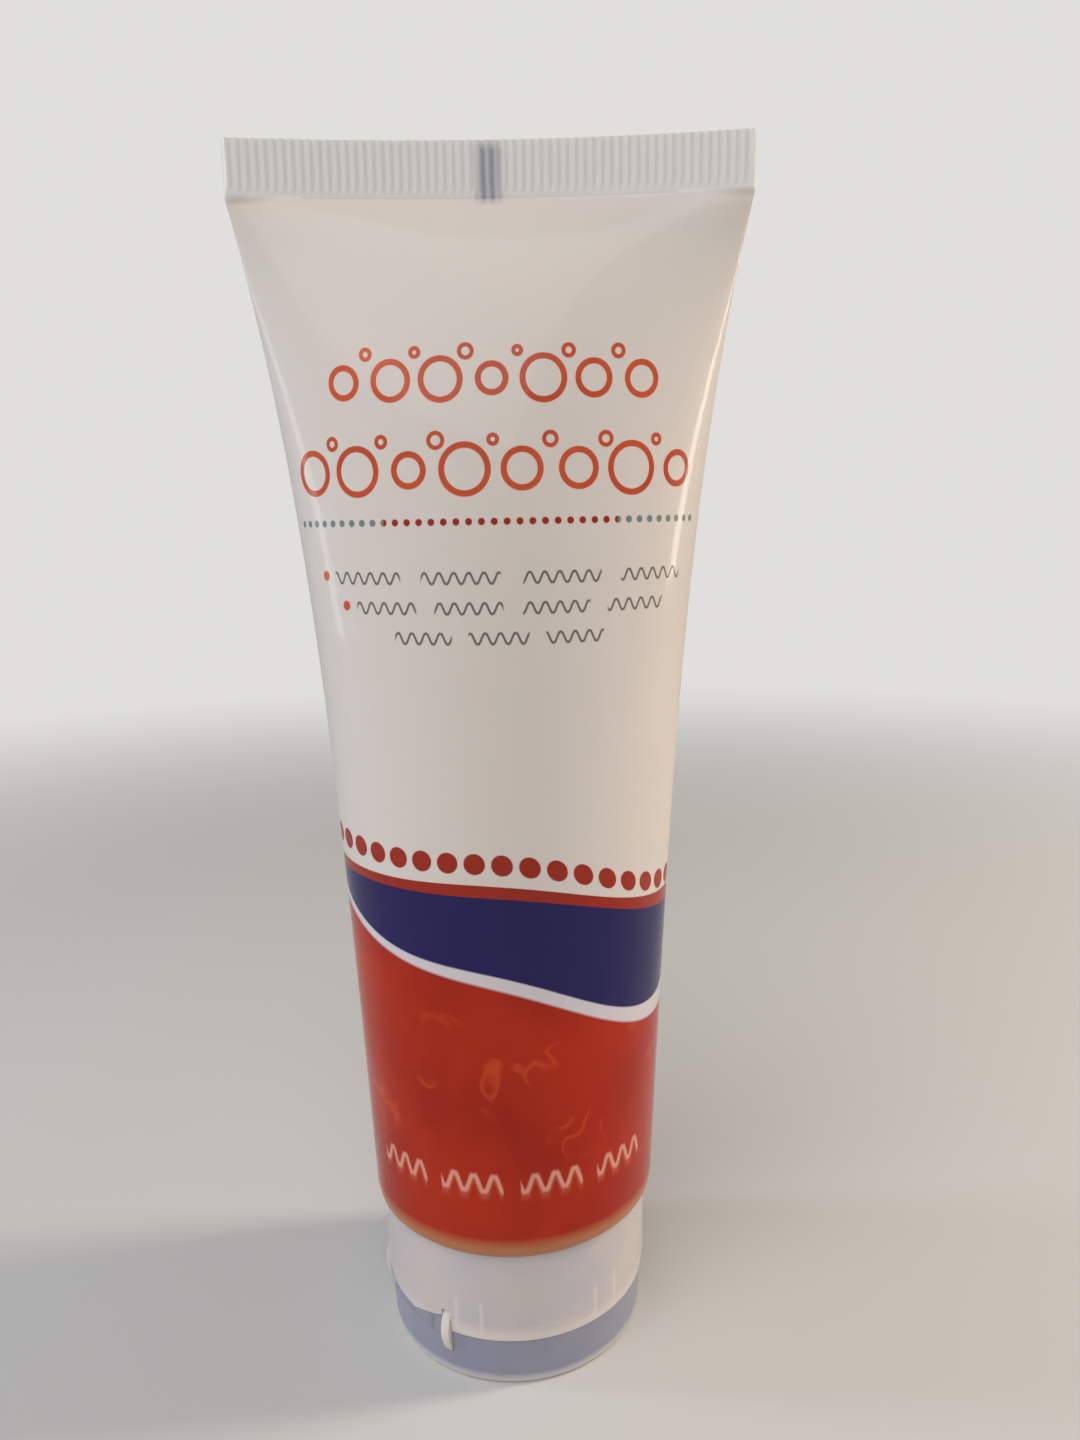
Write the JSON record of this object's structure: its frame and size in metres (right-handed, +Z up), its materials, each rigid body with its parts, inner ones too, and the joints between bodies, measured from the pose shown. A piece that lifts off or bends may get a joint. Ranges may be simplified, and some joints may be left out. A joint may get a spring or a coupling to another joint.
{
  "type": "face scrub tube",
  "caption": "Squeeze tube with a flat ribbed end seal that stands on a hinged flip-top screw cap, filled with orange scrub behind a translucent lower window.",
  "frame": {"origin": "middle of the cap's outer face, which the tube stands on", "axes": "+Z up the tube to the end seal, printed front towards -Y, flat width of the end seal along X"},
  "size_m": [0.0628, 0.04, 0.159],
  "materials": {
    "tube_film": "satin pearl white with printed orange and blue bands",
    "head_plastic": "natural white moulded",
    "scrub": "wet translucent gel",
    "cap_plastic": "natural translucent moulded",
    "lid_plastic": "natural translucent moulded"
  },
  "bodies": {
    "tube": {"tube_sleeve": "tube_film", "tube_head": "head_plastic", "scrub_gel": "scrub"},
    "cap": {"cap_base": "cap_plastic", "hinge_film": "cap_plastic", "hinge_wing_left": "cap_plastic", "hinge_wing_right": "cap_plastic"},
    "lid": {"cap_lid": "lid_plastic"}
  },
  "joints": [
    {"name": "cap_unscrew", "type": "hinge", "parent": "tube", "child": "cap", "pos_m": [0, 0, 0.0145], "axis": [0, 0, -1], "range_deg": [0, 540]},
    {"name": "lid_hinge", "type": "hinge", "parent": "cap", "child": "lid", "pos_m": [-0.01594, -0.01035, 0.00705], "axis": [-0.5446, 0.8387, 0], "range_deg": [0, 130], "deforming": ["hinge_film", "hinge_wing_left", "hinge_wing_right"]}
  ]
}
